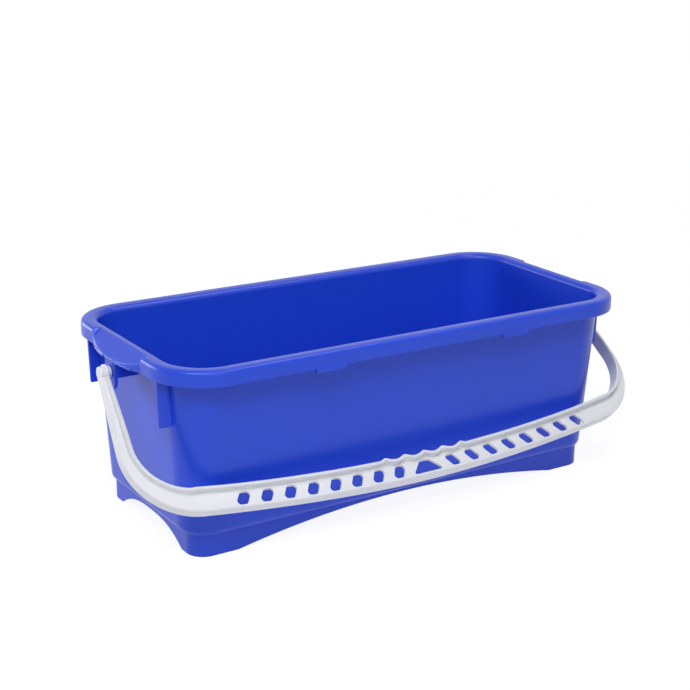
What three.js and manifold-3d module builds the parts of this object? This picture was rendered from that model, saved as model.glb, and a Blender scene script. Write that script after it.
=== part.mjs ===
// Window cleaning bucket: a long shallow tub, moulded in one piece with its rim, foot skirt and ears,
// and a moulded bail handle whose trunnions snap into the ears.
// Millimetres and degrees. X runs along the bucket, -Y is the front, Z is up.

import * as THREE from 'three';
import { mergeVertices } from 'three/addons/utils/BufferGeometryUtils.js';
import Module from 'manifold-3d';

const wasm = await Module();
wasm.setup();

// Tub: rim
const rimLength = 520;
const rimWidth = 244;
const rimCornerRadius = 54;
const tubHeight = 186.8;
const rimDrop = 15.3;
const rimShoulder = 6;
const rimCrestInset = 7.4;
const rimCrown = 0.3;
const rimReach = 14.4;
const rimSkin = 2.5;
const lipRound = 5.5;
const edgeRound = 0.8;

// Tub: walls, floor and foot skirt
const wallThickness = 2.6;
const wallDraftDegrees = 4;
const wallFootCorner = 29.6;
const floorThickness = 2.8;
const floorRound = 8;
const ledgeDepth = 6;
const ledgeHeight = 7.5;
const skirtHeight = 21.5;
const skirtCorner = 18;
const skirtThickness = 2.6;
const sideArchHalfSpan = 185;
const sideArchHeight = 17.7;
const sideArchFullness = 2;
const endArchShortOfCorner = 4;
const endArchHeight = 16;
const endArchFullness = 2.7;

// Tub: flare over the ears, ears with their gussets, guard ribs and stacking tabs
const flareShortOfCorner = 17;
const flareReach = 8;
const flareDrop = 13.4;
const beadRadius = 1.6;
const beadShortOfFlare = 11;
const earHalfWidth = 10.5;
const earThickness = 3;
const earSetback = 1.7;
const earBelowAxis = 17;
const gussetThickness = 2.6;
const gussetBelowAxis = 4;
const guardPastCorner = 5.5;
const guardThickness = 3;
const guardReachTop = 10.4;
const guardReachFoot = 11.8;
const guardDrop = 45.5;
const ribIntoSkin = 0.4;
const tabLength = 31;
const tabHalfSpacing = 106;
const tabDrop = 3.6;
const tabOverlap = 2;
const tabProud = 0.7;

// Bail: pivots
const pivotDrop = 26.8;
const trunnionRadius = 3.6;
const trunnionClearance = 0.4;
const shoulderRadius = 6.3;
const shoulderLength = 3.4;
const earClearance = 0.3;
const snapHeadRadius = 4.8;
const snapHeadTipRadius = 2.6;
const snapHeadLength = 3.4;
const legEndRadius = 7.6;
const bossRadius = 6.4;

// Bail: the band in its own plane
const hangDegrees = 39.5;
const legWidth = 7.7;
const legOuterSplay = 0.131;
const legInnerSplay = 0.095;
const outerCornerRadius = 66;
const innerCornerRadius = 47;
const fingerRoom = 27.3;
const gripBand = 20.8;
const gripCrownRadius = 1750;

// Bail: section of the band
const webThickness = 3;
const flangeThickness = 3;
const innerFlangeFront = 8.5;
const innerFlangeFrontAtPivot = 5.5;
const innerFlangeBack = 7;
const outerFlangeBackAtPivot = 6;
const outerFlangeBackAtCorner = 9;
const outerFlangeBackAtGrip = 12.5;
const outerFlangeRound = 1.8;
const flangeEdgeRound = 0.7;

// Bail: holes and finger scallops of the grip
const holesPerSide = 8;
const firstHoleX = 31.2;
const holePitch = 23.3;
const holeWidth = 11.8;
const holeHeight = 12.6;
const holeSlant = 7.4;
const holeCornerRadius = 3.6;
const holeBelowInnerEdge = 11.8;
const middleHoleBase = 35;
const middleHoleTop = 11;
const middleHoleCornerRadius = 1.4;
const scallopPitch = 22;
const scallopCrests = 5;
const scallopRise = 2.1;
const scallopDepth = 3.1;
const scallopCrestSharpness = 0.2;

// Modelling
const overrun = 5;
const bite = 1;
const cornerSegments = 10;
const archSegments = 28;
const arcSegments = 5;
const beadSegments = 3;
const holeCornerSegments = 3;
const roundSegments = 24;
const legStations = 4;
const bendStations = 12;
const crownStationSpacing = 30;
const scallopStationSpacing = 2.75;
const flareStationSpacing = 5.1;

const radians = THREE.MathUtils.degToRad;

// Closed geometries as solids, and booleans on them

function solidOf(geometry) {
  const plain = geometry.clone();
  plain.deleteAttribute('normal');
  plain.deleteAttribute('uv');
  const merged = mergeVertices(plain);
  return new wasm.Manifold(new wasm.Mesh({
    numProp: 3,
    vertProperties: new Float32Array(merged.getAttribute('position').array),
    triVerts: new Uint32Array(merged.getIndex().array),
  }));
}

function geometryOf(solid) {
  const mesh = solid.getMesh();
  const geometry = new THREE.BufferGeometry();
  geometry.setAttribute('position', new THREE.BufferAttribute(new Float32Array(mesh.vertProperties), 3));
  geometry.setIndex(new THREE.BufferAttribute(new Uint32Array(mesh.triVerts), 1));
  geometry.computeVertexNormals();
  return geometry;
}

function join(solid, geometries) {
  return geometries.reduce((whole, geometry) => whole.add(solidOf(geometry)), solid);
}

function cut(solid, geometries) {
  return geometries.reduce((whole, geometry) => whole.subtract(solidOf(geometry)), solid);
}

// The same pieces at the other end of the bucket, turned half round the upright middle axis
function halfTurned(geometries) {
  return geometries.map((geometry) => geometry.clone().rotateZ(Math.PI));
}

function placed(geometry, xAxis, yAxis, zAxis, position) {
  const matrix = new THREE.Matrix4().makeBasis(xAxis, yAxis, zAxis).setPosition(position);
  return geometry.clone().applyMatrix4(matrix);
}

const X = new THREE.Vector3(1, 0, 0);
const Y = new THREE.Vector3(0, 1, 0);
const Z = new THREE.Vector3(0, 0, 1);

function prism(shape, depth, curveSegments = arcSegments) {
  return new THREE.ExtrudeGeometry(shape, { depth, bevelEnabled: false, curveSegments });
}

// A plate whose outline is drawn in (y, z) and that runs from x0 to x1
function plateAlongX(outline, x0, x1) {
  return placed(prism(new THREE.Shape(outline), x1 - x0), Y, Z, X, new THREE.Vector3(x0, 0, 0));
}

// A plate whose outline is drawn in (x, z) and that runs from y0 to y1
function plateAlongY(outline, y0, y1) {
  return placed(prism(new THREE.Shape(outline), y1 - y0), X, Z, Y.clone().negate(), new THREE.Vector3(0, y1, 0));
}

// A rod along X from x0 to x1, with a radius at each end
function rodAlongX(x0, x1, y, z, radius0, radius1 = radius0) {
  const rod = new THREE.CylinderGeometry(radius1, radius0, x1 - x0, roundSegments);
  return placed(rod, Y.clone().negate(), X, Z, new THREE.Vector3((x0 + x1) / 2, y, z));
}

function point(a, b) {
  return new THREE.Vector2(a, b);
}

// Rounded-rectangle rings, lofted into one closed surface

function outlineOf(length, width, corner) {
  return { halfLength: length / 2, halfWidth: width / 2, corner };
}

function inset(outline, distance) {
  return {
    halfLength: outline.halfLength - distance,
    halfWidth: outline.halfWidth - distance,
    corner: Math.max(outline.corner - distance, edgeRound),
  };
}

function between(a, b, share) {
  return {
    halfLength: THREE.MathUtils.lerp(a.halfLength, b.halfLength, share),
    halfWidth: THREE.MathUtils.lerp(a.halfWidth, b.halfWidth, share),
    corner: THREE.MathUtils.lerp(a.corner, b.corner, share),
  };
}

function ringPoints({ halfLength, halfWidth, corner }, z) {
  const points = [];
  const centres = [[1, 1], [-1, 1], [-1, -1], [1, -1]];
  centres.forEach(([sideX, sideY], quarter) => {
    for (let step = 0; step <= cornerSegments; step += 1) {
      const angle = (Math.PI / 2) * (quarter + step / cornerSegments);
      points.push(new THREE.Vector3(
        sideX * (halfLength - corner) + corner * Math.cos(angle),
        sideY * (halfWidth - corner) + corner * Math.sin(angle),
        z,
      ));
    }
  });
  return points;
}

// Rings joined in order, each end closed by a fan from its first point
function swept(rings) {
  const count = rings[0].length;
  const index = [];
  for (let r = 0; r + 1 < rings.length; r += 1) {
    for (let i = 0; i < count; i += 1) {
      const a = r * count + i;
      const b = r * count + ((i + 1) % count);
      index.push(a, b, b + count, a, b + count, a + count);
    }
  }
  const last = (rings.length - 1) * count;
  for (let i = 1; i + 1 < count; i += 1) {
    index.push(0, i + 1, i, last, last + i, last + i + 1);
  }
  const geometry = new THREE.BufferGeometry();
  const positions = rings.flat().flatMap((p) => p.toArray());
  geometry.setAttribute('position', new THREE.Float32BufferAttribute(positions, 3));
  geometry.setIndex(index);
  return geometry;
}

// A section drawn in (x, z) at each place along Y; the places run from +Y to -Y
function sweptAlongY(places, sectionAt) {
  return swept(places.map((y) => sectionAt(y).map((p) => new THREE.Vector3(p.x, y, p.y))));
}

// Places from one distance to a smaller one, the last left out
function stationsAlong(from, to, spacing) {
  const steps = Math.ceil((from - to) / spacing);
  return Array.from({ length: steps }, (_, i) => THREE.MathUtils.lerp(from, to, i / steps));
}

function loft(rings) {
  const count = rings[0].length;
  const positions = [];
  const index = [];
  rings.forEach((ring) => ring.forEach((p) => positions.push(p.x, p.y, p.z)));
  for (let r = 0; r + 1 < rings.length; r += 1) {
    for (let i = 0; i < count; i += 1) {
      const a = r * count + i;
      const b = r * count + ((i + 1) % count);
      index.push(a, a + count, b + count, a, b + count, b);
    }
  }
  const first = positions.length / 3;
  positions.push(0, 0, rings[0][0].z, 0, 0, rings[rings.length - 1][0].z);
  const lastRing = (rings.length - 1) * count;
  for (let i = 0; i < count; i += 1) {
    const next = (i + 1) % count;
    index.push(first, i, next, first + 1, lastRing + next, lastRing + i);
  }
  const geometry = new THREE.BufferGeometry();
  geometry.setAttribute('position', new THREE.Float32BufferAttribute(positions, 3));
  geometry.setIndex(index);
  return geometry;
}

// Tub: levels and outlines that everything else follows
const rimUnder = tubHeight - rimDrop;
const ledgeTop = skirtHeight + ledgeHeight;
const floorTop = skirtHeight + floorThickness;
const pivotHeight = tubHeight - pivotDrop;
const endStraight = rimWidth / 2 - rimCornerRadius;
const endArchHalfSpan = endStraight - endArchShortOfCorner;
const flareHalfWidth = endStraight - flareShortOfCorner;
const beadHalfLength = flareHalfWidth - beadShortOfFlare;
const guardHalfSpacing = endStraight + guardPastCorner;
const rimOutline = outlineOf(rimLength, rimWidth, rimCornerRadius);
const wallTop = inset(rimOutline, rimReach);
const wallFall = Math.tan(radians(wallDraftDegrees)) * (rimUnder - ledgeTop);
const wallFoot = { ...inset(wallTop, wallFall), corner: wallFootCorner };
const skirt = { ...inset(wallFoot, ledgeDepth), corner: skirtCorner };

function wallAt(z) {
  return between(wallFoot, wallTop, (z - ledgeTop) / (rimUnder - ledgeTop));
}

// Points of a quarter ellipse from one end to the other, the first left out
function quarter(steps, at) {
  return Array.from({ length: steps }, (_, i) => at((Math.PI / 2) * ((i + 1) / steps)));
}

function tubShell() {
  const rings = [];
  const add = (outline, z) => rings.push(ringPoints(outline, z));

  // Floor, its rounded corner and the inner wall
  const innerFoot = inset(wallAt(floorTop + floorRound), wallThickness);
  add(inset(innerFoot, floorRound), floorTop);
  quarter(arcSegments, (a) => add(
    inset(innerFoot, floorRound * (1 - Math.sin(a))),
    floorTop + floorRound * (1 - Math.cos(a)),
  ));
  const lipStart = tubHeight - rimCrown - lipRound;
  const innerTop = inset(wallAt(lipStart), wallThickness);
  add(innerTop, lipStart);

  // Inner lip, crest and outer shoulder of the rim
  quarter(arcSegments, (a) => add(
    inset(innerTop, -lipRound * (1 - Math.cos(a))),
    lipStart + lipRound * Math.sin(a),
  ));
  add(inset(rimOutline, rimCrestInset), tubHeight);
  quarter(arcSegments, (a) => add(
    inset(rimOutline, rimCrestInset * (1 - Math.sin(a))),
    tubHeight - rimShoulder * (1 - Math.cos(a)),
  ));
  add(rimOutline, rimUnder + edgeRound);
  add(inset(rimOutline, edgeRound), rimUnder);

  // Inside of the rim's channel, back to the wall
  add(inset(rimOutline, rimSkin), rimUnder);
  add(inset(rimOutline, rimSkin), tubHeight - rimShoulder);
  add(inset(rimOutline, rimCrestInset), tubHeight - rimSkin);
  const channelTop = tubHeight - rimSkin - rimCrown;
  add(wallAt(channelTop), channelTop);

  // Outer wall, the rounded ledge and the foot skirt
  add(wallAt(ledgeTop), ledgeTop);
  quarter(arcSegments, (a) => add(
    between(wallFoot, skirt, 1 - Math.cos(a)),
    ledgeTop - ledgeHeight * Math.sin(a),
  ));
  add(skirt, edgeRound);
  add(inset(skirt, edgeRound), 0);
  add(inset(skirt, skirtThickness), 0);
  add(inset(skirt, skirtThickness), skirtHeight);
  return loft(rings);
}

// An arch through two opposite walls of the skirt, as points from foot to foot
function archOutline(halfSpan, height, fullness) {
  const curve = Array.from({ length: archSegments + 1 }, (_, i) => {
    const share = 1 - (2 * i) / archSegments;
    return point(halfSpan * share, height * (1 - Math.abs(share) ** fullness));
  });
  return [point(-halfSpan, -overrun), point(halfSpan, -overrun), ...curve];
}

// The flare that carries each ear, at the +X end: u runs out along the bucket
const rimEnd = rimLength / 2;
const crestEnd = rimEnd - rimCrestInset;
const flareEnd = rimEnd + flareReach;
const flareSlope = flareDrop / (flareEnd - crestEnd);
const flareSkinDrop = wallThickness * Math.hypot(1, flareSlope);
const flareInRim = flareHalfWidth + wallThickness;
const lipInner = rimEnd - rimSkin;

function flareTopAt(u) {
  return tubHeight - (u - crestEnd) * flareSlope;
}

// Its edge bows out from the rim's end in one arc
const flareBow = (flareHalfWidth ** 2 + flareReach ** 2) / (2 * flareReach);

function flareEdgeAt(y) {
  return flareEnd - flareBow + Math.sqrt(flareBow ** 2 - y ** 2);
}

function flareTrim() {
  return plateAlongY([
    point(crestEnd, tubHeight), point(flareEnd, flareTopAt(flareEnd)),
    point(flareEnd, tubHeight + overrun), point(crestEnd, tubHeight + overrun),
  ], -flareHalfWidth, flareHalfWidth);
}

function flareBody() {
  const places = [...stationsAlong(flareInRim, -flareInRim, flareStationSpacing), -flareInRim];
  return sweptAlongY(places, (y) => {
    const edge = flareEdgeAt(y);
    return [
      point(crestEnd, tubHeight), point(crestEnd, tubHeight - rimSkin), point(lipInner, rimUnder),
      point(edge, rimUnder), point(edge, flareTopAt(edge)),
    ];
  });
}

function flareHollow() {
  const end = flareInRim + bite;
  const places = [...stationsAlong(end, -end, flareStationSpacing), -end];
  return sweptAlongY(places, (y) => {
    const edge = flareEdgeAt(y) - rimSkin;
    return [
      point(crestEnd, rimUnder - overrun), point(edge, rimUnder - overrun),
      point(edge, flareTopAt(edge) - flareSkinDrop), point(crestEnd, flareTopAt(crestEnd) - flareSkinDrop),
    ];
  });
}

// A round bead along the flare's lower edge, its two ends rounded
function flareBead(from, to) {
  const ends = quarter(beadSegments, (a) => beadRadius * (1 - Math.cos(a)));
  const places = [
    ...ends.map((d) => from - d),
    ...stationsAlong(from - beadRadius, to + beadRadius, flareStationSpacing).slice(1),
    ...ends.map((d) => to + d).reverse(),
  ];
  return sweptAlongY(places, (y) => {
    const short = beadRadius - Math.min(from - y, y - to, beadRadius);
    const radius = Math.sqrt(beadRadius ** 2 - short ** 2);
    const x = flareEdgeAt(y) - beadRadius / 2;
    const z = rimUnder + beadRadius / 2;
    return Array.from({ length: 4 * beadSegments }, (_, i) => {
      const angle = (Math.PI / 2) * (i / beadSegments);
      return point(x + radius * Math.cos(angle), z + radius * Math.sin(angle));
    });
  });
}

function flareBeads() {
  return [flareBead(beadHalfLength, earHalfWidth), flareBead(-earHalfWidth, -beadHalfLength)];
}

const earOuterFace = flareEnd - earSetback;
const earInnerFace = earOuterFace - earThickness;

function ear() {
  const outline = new THREE.Shape();
  const foot = pivotHeight - earBelowAxis;
  const top = flareTopAt(earOuterFace) - ribIntoSkin;
  outline.moveTo(earHalfWidth, top);
  outline.lineTo(-earHalfWidth, top);
  outline.lineTo(-earHalfWidth, foot + earHalfWidth);
  outline.absarc(0, foot + earHalfWidth, earHalfWidth, Math.PI, 2 * Math.PI, false);
  return placed(prism(outline, earThickness), Y, Z, X, new THREE.Vector3(earInnerFace, 0, 0));
}

function earHole() {
  return rodAlongX(earInnerFace - bite, earOuterFace + bite, 0, pivotHeight, trunnionRadius + trunnionClearance);
}

// Ribs stand on the wall and end inside the skin over them
const ribTop = tubHeight - rimSkin + ribIntoSkin;
const wallOut = (z) => wallAt(z).halfLength;

function gussets() {
  const foot = pivotHeight - gussetBelowAxis;
  const end = earInnerFace + bite;
  const skinMiddle = (u) => flareTopAt(u) - flareSkinDrop / 2;
  const outline = [
    point(wallOut(foot) - bite, foot), point(end, foot), point(end, skinMiddle(end)),
    point(crestEnd, skinMiddle(crestEnd)), point(wallOut(ribTop) - bite, ribTop),
  ];
  return [-earHalfWidth, earHalfWidth - gussetThickness].map(
    (y) => plateAlongY(outline, y, y + gussetThickness),
  );
}

function guardRibs() {
  const foot = rimUnder - guardDrop;
  const outline = [
    point(wallOut(foot) - bite, foot), point(wallOut(foot) + guardReachFoot, foot),
    point(wallOut(rimUnder) + guardReachTop, rimUnder), point(wallOut(rimUnder) + guardReachTop, ribTop),
    point(wallOut(ribTop) - bite, ribTop),
  ];
  return [-guardHalfSpacing, guardHalfSpacing].map(
    (y) => plateAlongY(outline, y - guardThickness / 2, y + guardThickness / 2),
  );
}

function stackingTabs() {
  const shape = new THREE.Shape();
  const halfLength = tabLength / 2;
  const round = tabDrop / 2;
  const foot = rimUnder - tabDrop;
  shape.moveTo(halfLength, rimUnder + tabOverlap);
  shape.lineTo(-halfLength, rimUnder + tabOverlap);
  shape.lineTo(-halfLength, foot + round);
  shape.absarc(-halfLength + round, foot + round, round, Math.PI, 1.5 * Math.PI, false);
  shape.absarc(halfLength - round, foot + round, round, 1.5 * Math.PI, 2 * Math.PI, false);
  const thickness = rimSkin + tabProud;
  const tabs = [];
  for (const side of [-1, 1]) {
    for (const x of [-tabHalfSpacing, tabHalfSpacing]) {
      const outerFace = side * (rimWidth / 2 + tabProud);
      const start = Math.max(outerFace, outerFace - side * thickness);
      tabs.push(placed(prism(shape, thickness), X, Z, Y.clone().negate(), new THREE.Vector3(x, start, 0)));
    }
  }
  return tabs;
}

function makeTub() {
  const sideArches = archOutline(sideArchHalfSpan, sideArchHeight, sideArchFullness);
  const endArches = archOutline(endArchHalfSpan, endArchHeight, endArchFullness);
  let tub = cut(solidOf(tubShell()), [
    plateAlongY(sideArches, -rimWidth, rimWidth),
    plateAlongX(endArches, -rimLength, rimLength),
  ]);
  for (const atEnd of [(geometries) => geometries, halfTurned]) {
    tub = cut(tub, atEnd([flareTrim()]));
    tub = join(tub, atEnd([flareBody()]));
    tub = cut(tub, atEnd([flareHollow()]));
    tub = join(tub, atEnd([ear(), ...gussets(), ...flareBeads(), ...guardRibs()]));
    tub = cut(tub, atEnd([earHole()]));
  }
  return geometryOf(join(tub, stackingTabs()));
}

// Bail: one edge of the band, from the left pivot round the grip to the right pivot.
// Its points are (across from the middle plane, reach from the pivot axis).
const legInnerFace = earOuterFace + earClearance + shoulderLength;
const legOuterFace = legInnerFace + legWidth;
const scallopCrestReach = ((scallopCrests - 1) / 2) * scallopPitch;
const scallopReach = scallopCrestReach + scallopPitch / 2;

// How far the scalloped edge stands proud of the plain crown
function scallop(across) {
  const wave = Math.sin((Math.PI * across) / scallopPitch);
  const softened = Math.hypot(wave, scallopCrestSharpness) - scallopCrestSharpness;
  const full = Math.hypot(1, scallopCrestSharpness) - scallopCrestSharpness;
  const rise = scallopRise - (scallopDepth * softened) / full;
  return Math.abs(across) > scallopCrestReach ? Math.max(rise, 0) : rise;
}

function bandEdge({ acrossAtPivot, splay, cornerRadius, reachAtMiddle, crownRadius, scalloped }) {
  const legLength = Math.hypot(1, splay);
  const along = point(splay / legLength, 1 / legLength);
  const inward = point(-1 / legLength, splay / legLength);
  const crownCentre = point(0, reachAtMiddle - crownRadius);

  // The corner arc touches the leg's line and the crown's arc from inside
  const start = point(acrossAtPivot, 0).addScaledVector(inward, cornerRadius).sub(crownCentre);
  const half = start.dot(along);
  const gap = (crownRadius - cornerRadius) ** 2 - start.lengthSq();
  const legRun = -half + Math.sqrt(half * half + gap);
  const corner = start.clone().addScaledVector(along, legRun).add(crownCentre);
  const arcStart = Math.atan2(-inward.y, -inward.x);
  const arcEnd = Math.atan2(corner.y - crownCentre.y, corner.x - crownCentre.x);

  const right = [];
  for (let i = 0; i < legStations; i += 1) {
    right.push(point(acrossAtPivot, 0).addScaledVector(along, (legRun * i) / legStations));
  }
  for (let i = 0; i < bendStations; i += 1) {
    const angle = THREE.MathUtils.lerp(arcStart, arcEnd, i / bendStations);
    right.push(corner.clone().add(point(Math.cos(angle), Math.sin(angle)).multiplyScalar(cornerRadius)));
  }
  const crownStart = corner.x + cornerRadius * Math.cos(arcEnd);
  const crownAt = (across) => crownCentre.y + Math.sqrt(crownRadius ** 2 - across ** 2);
  const plainEnd = scalloped ? scallopReach : 0;
  stationsAlong(crownStart, plainEnd, crownStationSpacing).forEach((across) => {
    right.push(point(across, crownAt(across)));
  });
  stationsAlong(plainEnd, 0, scallopStationSpacing).forEach((across) => {
    right.push(point(across, crownAt(across) - scallop(across)));
  });
  const middle = point(0, reachAtMiddle - (scalloped ? scallop(0) : 0));
  const left = right.map((p) => point(-p.x, p.y));
  return [...left, middle, ...right.reverse()];
}

// The grip swings over the rim with room for the fingers
const innerReach = Math.hypot(rimWidth / 2, pivotDrop) + fingerRoom;
const gripReach = innerReach + gripBand;
const outerEdge = bandEdge({
  acrossAtPivot: legOuterFace,
  splay: legOuterSplay,
  cornerRadius: outerCornerRadius,
  reachAtMiddle: gripReach,
  crownRadius: gripCrownRadius,
  scalloped: false,
});
const innerCrownRadius = gripCrownRadius - gripBand;
const innerEdge = bandEdge({
  acrossAtPivot: legInnerFace,
  splay: legInnerSplay,
  cornerRadius: innerCornerRadius,
  reachAtMiddle: innerReach,
  crownRadius: innerCrownRadius,
  scalloped: true,
});

// A flange that stands on one edge of the band. The points of its section at each station
// are (depth into the band from the edge, height from the middle of the web).
function flange(edge, intoBand, sectionAt) {
  const stations = edge.map((p, i) => {
    const before = edge[Math.max(i - 1, 0)];
    const after = edge[Math.min(i + 1, edge.length - 1)];
    const tangent = after.clone().sub(before).normalize();
    const normal = point(-tangent.y, tangent.x).multiplyScalar(intoBand);
    return { p, normal, section: sectionAt(p) };
  });
  const rings = stations.map(({ p, normal, section }) => section.map(({ x: depth, y: height }) => {
    const at = p.clone().addScaledVector(normal, depth);
    return new THREE.Vector3(at.x, -at.y, height);
  }));
  return swept(intoBand > 0 ? rings.reverse() : rings);
}

function chamferedSection(thickness, back, front, chamfer) {
  return [
    point(0, back + flangeEdgeRound), point(flangeEdgeRound, back),
    point(thickness - flangeEdgeRound, back), point(thickness, back + flangeEdgeRound),
    point(thickness, front - flangeEdgeRound), point(thickness - flangeEdgeRound, front),
    point(chamfer, front), point(0, front - chamfer),
  ];
}

function innerFlange() {
  return flange(innerEdge, 1, (p) => {
    const share = THREE.MathUtils.smoothstep(p.y, 0, innerReach / 2);
    const front = THREE.MathUtils.lerp(innerFlangeFrontAtPivot, innerFlangeFront, share);
    return chamferedSection(flangeThickness, -innerFlangeBack, front, flangeEdgeRound);
  });
}

function outerFlange() {
  const cornerAcross = legOuterFace - outerCornerRadius;
  return flange(outerEdge, -1, (p) => {
    const down = THREE.MathUtils.smoothstep(p.y, 0, gripReach / 2);
    const toMiddle = 1 - THREE.MathUtils.smoothstep(Math.abs(p.x), 0, cornerAcross);
    const leg = THREE.MathUtils.lerp(outerFlangeBackAtPivot, outerFlangeBackAtCorner, down);
    const back = THREE.MathUtils.lerp(leg, outerFlangeBackAtGrip, toMiddle);
    return chamferedSection(flangeThickness, -back, webThickness / 2, outerFlangeRound);
  });
}

// Web holes: slanted slots that lean towards the middle, and one tapered hole in the middle

function roundedHole(corners, radius) {
  const path = new THREE.Path();
  corners.forEach((corner, i) => {
    const before = corners[(i + corners.length - 1) % corners.length];
    const after = corners[(i + 1) % corners.length];
    const toBefore = before.clone().sub(corner).normalize();
    const toAfter = after.clone().sub(corner).normalize();
    const half = Math.acos(THREE.MathUtils.clamp(toBefore.dot(toAfter), -1, 1)) / 2;
    const run = radius / Math.tan(half);
    const enter = corner.clone().addScaledVector(toBefore, run);
    const leave = corner.clone().addScaledVector(toAfter, run);
    if (i === 0) path.moveTo(enter.x, enter.y);
    else path.lineTo(enter.x, enter.y);
    path.quadraticCurveTo(corner.x, corner.y, leave.x, leave.y);
  });
  path.closePath();
  return path;
}

function gripHoles() {
  const crownAt = (across) => innerReach - innerCrownRadius + Math.sqrt(innerCrownRadius ** 2 - across ** 2);
  const holes = [];
  for (const side of [-1, 1]) {
    for (let i = 0; i < holesPerSide; i += 1) {
      const across = firstHoleX + i * holePitch;
      const middle = crownAt(across) + holeBelowInnerEdge;
      const tilt = across / innerCrownRadius;
      const corners = [[-1, -1], [1, -1], [1, 1], [-1, 1]].map(([a, b]) => {
        const local = point((a * holeWidth + b * holeSlant) / 2, (b * holeHeight) / 2);
        local.rotateAround(point(0, 0), -tilt);
        return point(side * (across + local.x), -(middle + local.y));
      });
      holes.push(roundedHole(corners, holeCornerRadius));
    }
  }
  const middle = innerReach + holeBelowInnerEdge;
  const top = -(middle - holeHeight / 2);
  const base = -(middle + holeHeight / 2);
  holes.push(roundedHole([
    point(-middleHoleBase / 2, base), point(middleHoleBase / 2, base),
    point(middleHoleTop / 2, top), point(-middleHoleTop / 2, top),
  ], middleHoleCornerRadius));
  return holes;
}

function web() {
  const down = (p) => point(p.x, -p.y);
  const outline = [...outerEdge.map(down), ...innerEdge.map(down).reverse()];
  const shape = new THREE.Shape(outline);
  shape.holes = gripHoles();
  return prism(shape, webThickness, holeCornerSegments).translate(0, 0, -webThickness / 2);
}

function pivotEnd() {
  const shoulderStart = earOuterFace + earClearance;
  const headStart = earInnerFace - earClearance;
  return [
    rodAlongX(legInnerFace, legInnerFace + flangeThickness, 0, 0, legEndRadius),
    rodAlongX(legInnerFace + bite, legOuterFace, 0, 0, bossRadius),
    rodAlongX(shoulderStart, legInnerFace + bite, 0, 0, shoulderRadius),
    rodAlongX(headStart - bite, shoulderStart + bite, 0, 0, trunnionRadius),
    rodAlongX(headStart - snapHeadLength, headStart, 0, 0, snapHeadTipRadius, snapHeadRadius),
  ];
}

// Drawn flat: x across, -y towards the grip, z to the front of the web
function makeBail() {
  const ends = pivotEnd();
  return geometryOf(join(solidOf(web()), [innerFlange(), outerFlange(), ...ends, ...halfTurned(ends)]));
}

// Assembly

const bluePlastic = new THREE.MeshStandardMaterial({ color: 0x2b43c4, roughness: 0.32, metalness: 0 });
const greyPlastic = new THREE.MeshStandardMaterial({ color: 0xd3d6dc, roughness: 0.38, metalness: 0 });

const tub = new THREE.Mesh(makeTub(), bluePlastic);
tub.name = 'tub';

const bailMesh = new THREE.Mesh(makeBail(), greyPlastic);
bailMesh.name = 'bail_handle';
const hangingBail = new THREE.Group();
hangingBail.position.set(0, 0, pivotHeight);
hangingBail.rotation.x = radians(hangDegrees);
hangingBail.add(bailMesh);

// The origin is on the ground, under the middle of the bucket with its handle hanging in front
const bucket = new THREE.Group();
bucket.add(tub, hangingBail);
bucket.updateMatrixWorld(true);
const extent = new THREE.Box3().setFromObject(bucket, true);
bucket.position.y = -(extent.min.y + extent.max.y) / 2;

export default bucket;
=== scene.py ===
# %% [markdown]
# # A window cleaning bucket
#
# A window cleaner's bucket is two plastic mouldings. The long blue tub is one of them: walls, rim, foot
# and the ears that carry the handle come out of a single mould. The light grey handle is the other, and
# its own short pins snap into the ears. This lesson builds both as meshes with the roundings that a mould
# leaves, gives each its plastic, and lights them as a product photographer would.
#
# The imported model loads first. It is the fixed frame: its boxes say where the two mouldings are, and
# everything that is built here has to stay inside its size.

# %% Load the frame
import math
from collections import namedtuple

import bmesh
import bpy
from mathutils import Matrix, Vector


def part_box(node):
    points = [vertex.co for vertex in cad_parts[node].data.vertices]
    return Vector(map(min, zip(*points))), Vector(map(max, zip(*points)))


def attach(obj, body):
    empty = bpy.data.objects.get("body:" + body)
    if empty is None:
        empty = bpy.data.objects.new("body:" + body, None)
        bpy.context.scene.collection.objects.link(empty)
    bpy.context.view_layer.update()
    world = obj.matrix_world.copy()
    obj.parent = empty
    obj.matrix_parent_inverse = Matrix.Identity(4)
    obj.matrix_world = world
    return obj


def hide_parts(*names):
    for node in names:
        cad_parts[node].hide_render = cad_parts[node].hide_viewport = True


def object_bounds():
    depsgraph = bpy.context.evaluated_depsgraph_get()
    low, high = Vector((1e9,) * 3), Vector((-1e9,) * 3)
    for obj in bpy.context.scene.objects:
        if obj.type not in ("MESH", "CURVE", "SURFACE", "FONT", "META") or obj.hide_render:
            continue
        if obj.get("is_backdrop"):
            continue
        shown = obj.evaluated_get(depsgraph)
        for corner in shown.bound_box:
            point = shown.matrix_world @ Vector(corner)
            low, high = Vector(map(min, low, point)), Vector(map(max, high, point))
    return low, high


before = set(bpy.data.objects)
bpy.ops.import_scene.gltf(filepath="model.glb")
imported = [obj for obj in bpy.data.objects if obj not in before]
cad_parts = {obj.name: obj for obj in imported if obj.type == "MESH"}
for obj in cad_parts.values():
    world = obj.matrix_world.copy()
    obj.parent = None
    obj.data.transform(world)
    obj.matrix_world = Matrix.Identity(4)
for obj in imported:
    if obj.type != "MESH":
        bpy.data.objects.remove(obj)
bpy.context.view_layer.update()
tub_low, tub_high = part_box("tub")

# %% [markdown]
# Sizes are written in millimetres, as on a mould drawing, and turned to Blender's metres by one matrix.
# The tub's middle isn't the origin, because the hanging handle counts in the object's middle, so the
# frame's box gives the place.

# %% One scale and one place for both mouldings
MM = 0.001
TUB_HEIGHT = (tub_high.z - tub_low.z) / MM
MIDDLE_Y = (tub_low.y + tub_high.y) / 2 / MM
TO_FRAME = Matrix.Scale(MM, 4) @ Matrix.Translation((0, MIDDLE_Y, 0))
print(f"tub height {TUB_HEIGHT:.1f} mm, its middle at y {MIDDLE_Y:.2f} mm")

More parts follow.
